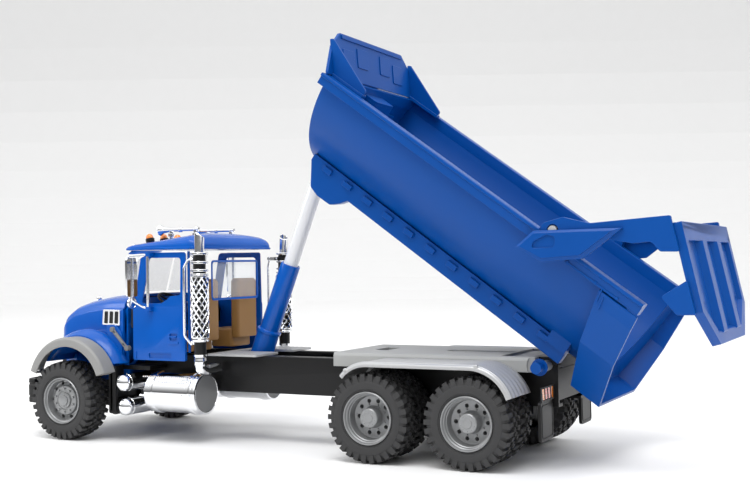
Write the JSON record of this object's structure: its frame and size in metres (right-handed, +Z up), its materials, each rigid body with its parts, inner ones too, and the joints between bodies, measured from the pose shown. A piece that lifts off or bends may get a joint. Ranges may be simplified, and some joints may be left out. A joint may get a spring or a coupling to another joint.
{
  "type": "push along truck",
  "caption": "Toy dump truck on three axles with a telescopic ram that tilts a half-pipe bed, a swinging tailgate, a tilting hood and doors that open.",
  "frame": {"origin": "bottom centre of the truck's box, on the surface that the tyres stand on", "axes": "-X towards the front of the truck, +Y towards the driver's right, +Z up"},
  "size_m": [0.6041, 0.184, 0.3313],
  "materials": {
    "cab_blue": "glossy saturated blue moulding",
    "bed_blue": "satin to glossy darker blue moulding",
    "black_plastic": "satin black moulding",
    "deck_grey": "matte light grey moulding",
    "silver_plastic": "satin silver-grey moulding",
    "lip_grey": "matte mid grey moulding",
    "engine_grey": "matte grey moulding",
    "chrome": "bright metallised plastic",
    "pin_metal": "satin silver-grey",
    "ram_white": "glossy white moulding",
    "seat_tan": "matte tan moulding",
    "amber_lens": "clear amber and red lenses",
    "clear_glass": "clear plastic glazing",
    "lamp_clear": "clear lamp lenses",
    "tyre_rubber": "soft matte dark grey rubber",
    "rim_silver": "satin silver-grey moulding"
  },
  "bodies": {
    "chassis": {"frame_rails": "black_plastic", "crossmembers": "black_plastic", "front_bumper": "black_plastic", "splash_panels": "black_plastic", "axle_mounts": "black_plastic", "rear_deck": "deck_grey", "rear_fenders": "silver_plastic", "bed_hinge_pins": "pin_metal", "tail_light_boxes": "black_plastic", "tail_lenses": "amber_lens", "mudflaps": "black_plastic", "fuel_tanks": "chrome", "tank_steps": "chrome", "air_tanks": "chrome", "catwalk": "silver_plastic", "cab_shell": "cab_blue", "cab_roof": "cab_blue", "dashboard": "black_plastic", "seats": "seat_tan", "steering_wheel": "black_plastic", "cab_glass": "clear_glass", "sun_visor": "chrome", "roof_lights": "amber_lens", "air_horns": "chrome", "grab_handles": "chrome", "exhaust_stacks": "chrome", "stack_shields": "chrome", "engine_block": "engine_grey"},
    "hood": {"hood_shell": "cab_blue", "hood_fenders": "cab_blue", "fender_lips": "lip_grey", "grille": "chrome", "headlamps": "lamp_clear", "side_vents": "chrome", "hood_latches": "lip_grey"},
    "left_door": {"door_left": "cab_blue"},
    "right_door": {"door_right": "cab_blue"},
    "left_mirror": {"mirror_left": "chrome"},
    "right_mirror": {"mirror_right": "chrome"},
    "ram_outer": {"ram_casing": "cab_blue"},
    "ram_middle": {"ram_tube": "ram_white"},
    "ram_inner": {"ram_rod": "ram_white"},
    "bed": {"bed_shell": "bed_blue", "bed_rails": "bed_blue", "bed_beams": "bed_blue", "canopy": "bed_blue", "rear_flare": "bed_blue", "hinge_ears": "bed_blue", "ram_bracket": "bed_blue", "gate_pivot_pins": "pin_metal"},
    "tailgate": {"gate_panel": "bed_blue", "gate_arms": "bed_blue", "arm_covers": "bed_blue"},
    "front_wheelset": {"front_tyres": "tyre_rubber", "front_wheels": "rim_silver"},
    "mid_wheelset": {"mid_tyres": "tyre_rubber", "mid_wheels": "rim_silver"},
    "rear_wheelset": {"rear_tyres": "tyre_rubber", "rear_wheels": "rim_silver"}
  },
  "joints": [
    {"name": "bed_tilt", "type": "hinge", "parent": "chassis", "child": "bed", "pos_m": [0.174, 0, 0.0727], "axis": [0, 1, 0], "range_deg": [-36, 0]},
    {"name": "tailgate_swing", "type": "hinge", "parent": "bed", "child": "tailgate", "pos_m": [0.197, 0, 0.1707], "axis": [0, 1, 0], "range_deg": [0, 41.5]},
    {"name": "ram_swing", "type": "hinge", "parent": "chassis", "child": "ram_outer", "pos_m": [-0.105, 0, 0.052], "axis": [0, 1, 0], "range_deg": [-23.75, 0]},
    {"name": "ram_middle_slide", "type": "slide", "parent": "ram_outer", "child": "ram_middle", "axis": [0.3694, 0, 0.9293], "range_m": [-0.0881, 0]},
    {"name": "ram_inner_slide", "type": "slide", "parent": "ram_middle", "child": "ram_inner", "axis": [0.3694, 0, 0.9293], "range_m": [-0.0808, 0]},
    {"name": "hood_tilt", "type": "hinge", "parent": "chassis", "child": "hood", "pos_m": [-0.292, 0, 0.055], "axis": [0, -1, 0], "range_deg": [0, 55]},
    {"name": "left_door_hinge", "type": "hinge", "parent": "chassis", "child": "left_door", "pos_m": [-0.1888, -0.06, 0.115], "axis": [0, 0, -1], "range_deg": [0, 65]},
    {"name": "right_door_hinge", "type": "hinge", "parent": "chassis", "child": "right_door", "pos_m": [-0.1888, 0.06, 0.115], "axis": [0, 0, 1], "range_deg": [0, 65]},
    {"name": "left_mirror_fold", "type": "hinge", "parent": "left_door", "child": "left_mirror", "pos_m": [-0.17, -0.064, 0.136], "axis": [0, 0, 1], "range_deg": [-25, 35]},
    {"name": "right_mirror_fold", "type": "hinge", "parent": "right_door", "child": "right_mirror", "pos_m": [-0.17, 0.064, 0.136], "axis": [0, 0, -1], "range_deg": [-25, 35]},
    {"name": "front_wheels_spin", "type": "hinge", "parent": "chassis", "child": "front_wheelset", "pos_m": [-0.249, 0, 0.034], "axis": [0, 1, 0], "continuous": true},
    {"name": "mid_wheels_spin", "type": "hinge", "parent": "chassis", "child": "mid_wheelset", "pos_m": [0.051, 0, 0.034], "axis": [0, 1, 0], "continuous": true},
    {"name": "rear_wheels_spin", "type": "hinge", "parent": "chassis", "child": "rear_wheelset", "pos_m": [0.1305, 0, 0.034], "axis": [0, 1, 0], "continuous": true}
  ],
  "couplings": [
    {"joint": "ram_swing", "follows": "bed_tilt", "ratio": 0.65899},
    {"joint": "ram_middle_slide", "follows": "bed_tilt", "m_per_rad": 0.14006},
    {"joint": "ram_inner_slide", "follows": "bed_tilt", "m_per_rad": 0.12843}
  ]
}
